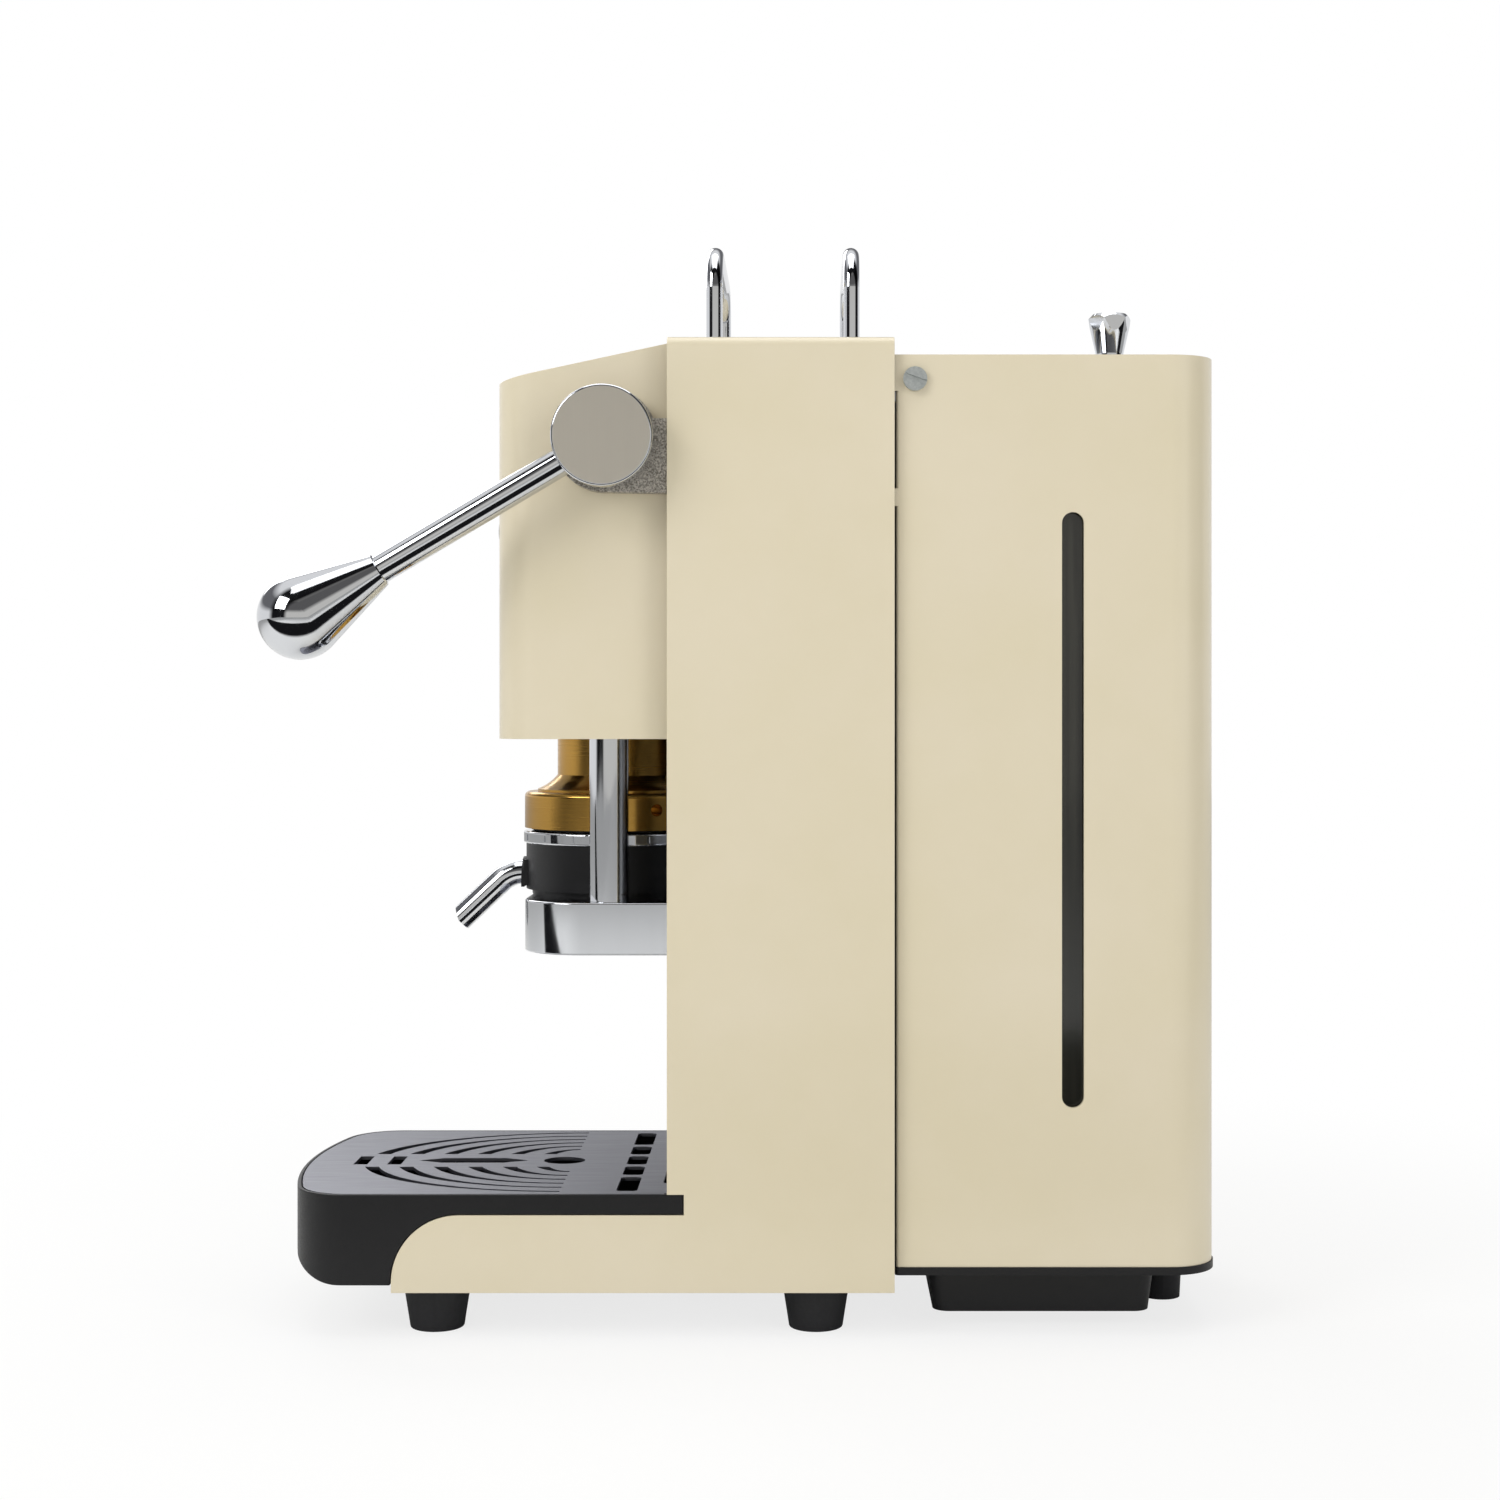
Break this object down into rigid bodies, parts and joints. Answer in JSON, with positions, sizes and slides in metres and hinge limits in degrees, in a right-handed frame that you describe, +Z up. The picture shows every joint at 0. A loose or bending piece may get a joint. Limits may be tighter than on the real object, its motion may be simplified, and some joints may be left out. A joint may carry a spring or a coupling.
{
  "type": "espresso pod machine",
  "caption": "Slim lever espresso machine for paper pods, with a gold pressing head, cup rails, a drip tray and a water tank behind",
  "frame": {"origin": "On the bench plane, in the middle of the body's width and 43.5 mm behind the pod's axis", "axes": "+X to the lever's side, +Y to the rear, +Z up"},
  "size_m": [0.1397, 0.2993, 0.345],
  "materials": {
    "cream_paint": "satin cream enamel",
    "chrome": "polished",
    "satin_steel": "satin",
    "grid_steel": "satin",
    "cast_aluminium": "rough cast",
    "gold_anodised": "gold anodised",
    "black_plastic": "satin black",
    "gloss_black": "glossy black",
    "smoky_plastic": "smoky clear",
    "rubber": "matt",
    "zinc_steel": "zinc plated",
    "brass": "machined",
    "board_green": "circuit board"
  },
  "bodies": {
    "chassis": {"main_shell": "cream_paint", "hood_shell": "cream_paint", "tank_housing": "cream_paint", "base_plate": "chrome", "cup_rail_front": "chrome", "cup_rail_rear": "chrome", "guide_columns": "chrome", "group_base": "chrome", "pod_ring": "chrome", "spout": "chrome", "filter_screen": "satin_steel", "tank_screws": "satin_steel", "cast_arms": "cast_aluminium", "group_frame": "cast_aluminium", "tank_base": "black_plastic", "filter_cup": "black_plastic", "button_switch": "black_plastic", "switch_housing": "black_plastic", "button_bezel": "gloss_black", "cable_gland": "gloss_black", "feet": "rubber", "head_hose": "rubber", "intake_hose": "rubber", "feed_hose": "rubber", "front_panel": "zinc_steel", "rear_panel": "zinc_steel", "housing_brackets": "zinc_steel", "hood_floor": "zinc_steel", "guide_plate": "zinc_steel", "bridge_plate": "zinc_steel", "return_springs": "zinc_steel", "column_nuts": "zinc_steel", "rail_nuts": "zinc_steel", "foot_screws": "zinc_steel", "arm_screws": "zinc_steel", "pump": "zinc_steel", "boiler": "zinc_steel", "shaft_bushes": "brass", "boiler_pipe": "brass", "control_board": "board_green"},
    "lever": {"lever_shaft": "zinc_steel", "lever_cam": "zinc_steel", "hub_disc": "satin_steel", "lever_rod": "chrome", "lever_knob": "chrome", "end_cap": "satin_steel"},
    "piston": {"piston_head": "gold_anodised", "head_gasket": "rubber", "shower_screen": "satin_steel", "crosshead": "zinc_steel", "roller_pin": "zinc_steel", "head_screws": "zinc_steel"},
    "roller": {"cam_roller": "zinc_steel"},
    "tray": {"drip_tray": "black_plastic"},
    "grid": {"drip_grid": "grid_steel"},
    "tank": {"water_tank": "smoky_plastic"},
    "lid": {"tank_lid": "chrome", "lid_knob": "chrome"},
    "button": {"brew_button": "gloss_black"},
    "rocker": {"power_rocker": "gloss_black"}
  },
  "joints": [
    {"name": "lever_pivot", "type": "hinge", "parent": "chassis", "child": "lever", "pos_m": [0, -0.0435, 0.2808], "axis": [-1, 0, 0], "range_deg": [0, 80]},
    {"name": "piston_slide", "type": "slide", "parent": "chassis", "child": "piston", "axis": [0, 0, 1], "range_m": [0, 0.014], "deforming": ["return_springs", "head_hose"]},
    {"name": "roller_spin", "type": "hinge", "parent": "piston", "child": "roller", "pos_m": [0, -0.0435, 0.2505], "axis": [1, 0, 0], "continuous": true},
    {"name": "tray_slide", "type": "slide", "parent": "chassis", "child": "tray", "axis": [0, -1, 0], "range_m": [0, 0.12]},
    {"name": "grid_lift", "type": "slide", "parent": "tray", "child": "grid", "axis": [0, 0, 1], "range_m": [0, 0.04]},
    {"name": "tank_lift", "type": "slide", "parent": "chassis", "child": "tank", "axis": [0, 0, 1], "range_m": [0, 0.27]},
    {"name": "lid_lift", "type": "slide", "parent": "tank", "child": "lid", "axis": [0, 0, 1], "range_m": [0, 0.06]},
    {"name": "button_push", "type": "slide", "parent": "chassis", "child": "button", "axis": [0, 1, 0], "range_m": [0, 0.0025], "stiffness_N_per_m": 400, "springref_m": -0.002},
    {"name": "rocker_tilt", "type": "hinge", "parent": "chassis", "child": "rocker", "pos_m": [-0.053, 0.03, 0.175], "axis": [0, 1, 0], "range_deg": [-6, 6]}
  ],
  "couplings": [
    {"joint": "piston_slide", "follows": "lever_pivot", "m_per_rad": 0.010027}
  ]
}
